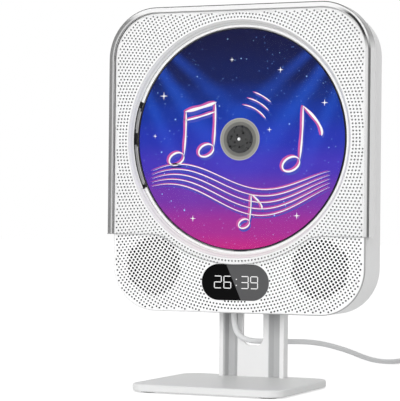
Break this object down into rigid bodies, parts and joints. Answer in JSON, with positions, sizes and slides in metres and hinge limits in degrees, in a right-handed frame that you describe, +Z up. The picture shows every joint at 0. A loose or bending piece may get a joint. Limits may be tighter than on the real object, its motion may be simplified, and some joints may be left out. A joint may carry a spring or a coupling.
{
  "type": "disc player",
  "caption": "Slim upright disc player with a lift-off clear dust cover, twin speakers, a small display and a desk stand, hangable on two wall screws, with its low-voltage lead.",
  "frame": {"origin": "middle of the stand's footprint on the table", "axes": "+Z up, +Y from the disc's face to the back, +X to the right seen from the front"},
  "size_m": [0.1527, 0.3174, 0.2064],
  "materials": {
    "white_shell": "fine satin moulding",
    "clear_cover": "clear polished",
    "light_grey": "satin",
    "dark_plastic": "matt",
    "mid_grey": "matt",
    "disc": "printed disc",
    "clear_hub": "satin",
    "black_screen": "polished",
    "steel": "bright",
    "motor_can": "plated",
    "rubber": "matt",
    "soft_pad": "matt",
    "board": "board",
    "paper_cone": "pulp",
    "lens": "coated",
    "nylon": "natural",
    "cord": "flexible sleeve",
    "chrome": "plated"
  },
  "bodies": {
    "player": {"front_housing": "white_shell", "bezel_ring": "light_grey", "rear_cover": "white_shell", "case_screws": "steel", "disc_deck": "dark_plastic", "deck_screws": "steel", "notch_insert": "dark_plastic", "notch_pad_upper": "mid_grey", "notch_pad_lower": "mid_grey", "spindle_motor": "motor_can", "mech_chassis": "dark_plastic", "damper_bushes": "rubber", "damper_screws": "steel", "guide_rod_main": "steel", "guide_rod_sub": "steel", "idler_axle": "steel", "drive_bracket": "steel", "sled_motor": "motor_can", "main_board": "board", "board_chips": "dark_plastic", "board_screws": "steel", "key_board": "board", "key_switches": "dark_plastic", "headphone_jack": "dark_plastic", "power_switch": "dark_plastic", "dc_socket": "dark_plastic", "dc_plug": "light_grey", "strain_relief": "light_grey", "display_window": "black_screen", "display_module": "dark_plastic", "speaker_frame_left": "dark_plastic", "speaker_frame_right": "dark_plastic", "speaker_cone_left": "paper_cone", "speaker_cone_right": "paper_cone", "stand_base": "light_grey", "base_pads": "rubber", "base_screws": "steel", "stand_column": "light_grey", "stand_screws": "steel", "power_cord": "cord", "cord_coil": "cord", "cord_tie": "dark_plastic", "usb_plug": "light_grey"},
    "cover": {"dust_cover": "clear_cover"},
    "spindle": {"turntable": "mid_grey", "turntable_pad": "rubber", "motor_shaft": "steel"},
    "disc": {"compact_disc": "disc"},
    "sled": {"pickup_sled": "dark_plastic", "pickup_rack": "nylon"},
    "pickup_lens": {"lens_holder": "dark_plastic", "lens": "lens"},
    "idler": {"idler_gear": "nylon"},
    "pinion": {"motor_pinion": "nylon"},
    "switch": {"switch_knob": "light_grey"},
    "key_previous": {"button_previous": "light_grey"},
    "key_play": {"button_play": "light_grey"},
    "key_next": {"button_next": "light_grey"},
    "key_quieter": {"button_quieter": "light_grey"},
    "key_louder": {"button_louder": "light_grey"}
  },
  "joints": [
    {"name": "cover_lift", "type": "slide", "parent": "player", "child": "cover", "axis": [0, 0, 1], "range_m": [0, 0.13]},
    {"name": "spindle_spin", "type": "hinge", "parent": "player", "child": "spindle", "pos_m": [0, 0.0105, 0.1342], "axis": [0, 1, 0], "continuous": true},
    {"name": "disc_release", "type": "slide", "parent": "spindle", "child": "disc", "axis": [0, -1, 0], "range_m": [0, 0.0035]},
    {"name": "sled_travel", "type": "slide", "parent": "player", "child": "sled", "axis": [0, 0, -1], "range_m": [0, 0.031]},
    {"name": "lens_focus", "type": "slide", "parent": "sled", "child": "pickup_lens", "axis": [0, -1, 0], "range_m": [-0.0003, 0.0003], "stiffness_N_per_m": 40},
    {"name": "idler_turn", "type": "hinge", "parent": "player", "child": "idler", "pos_m": [0.0312, 0.0181, 0.1072], "axis": [0, 1, 0], "range_deg": [-223, 0]},
    {"name": "pinion_turn", "type": "hinge", "parent": "player", "child": "pinion", "pos_m": [0.0312, 0.0181, 0.1192], "axis": [0, 1, 0], "range_deg": [0, 445]},
    {"name": "power_slide", "type": "slide", "parent": "player", "child": "switch", "axis": [0, 0, 1], "range_m": [0, 0.003]},
    {"name": "previous_press", "type": "slide", "parent": "player", "child": "key_previous", "axis": [0, 0, -1], "range_m": [0, 0.0005], "stiffness_N_per_m": 600, "springref_m": -0.0005},
    {"name": "play_press", "type": "slide", "parent": "player", "child": "key_play", "axis": [0, 0, -1], "range_m": [0, 0.0005], "stiffness_N_per_m": 600, "springref_m": -0.0005},
    {"name": "next_press", "type": "slide", "parent": "player", "child": "key_next", "axis": [0, 0, -1], "range_m": [0, 0.0005], "stiffness_N_per_m": 600, "springref_m": -0.0005},
    {"name": "quieter_press", "type": "slide", "parent": "player", "child": "key_quieter", "axis": [0, 0, -1], "range_m": [0, 0.0005], "stiffness_N_per_m": 600, "springref_m": -0.0005},
    {"name": "louder_press", "type": "slide", "parent": "player", "child": "key_louder", "axis": [0, 0, -1], "range_m": [0, 0.0005], "stiffness_N_per_m": 600, "springref_m": -0.0005}
  ],
  "couplings": [
    {"joint": "idler_turn", "follows": "sled_travel", "rad_per_m": -125},
    {"joint": "pinion_turn", "follows": "sled_travel", "rad_per_m": 250}
  ]
}
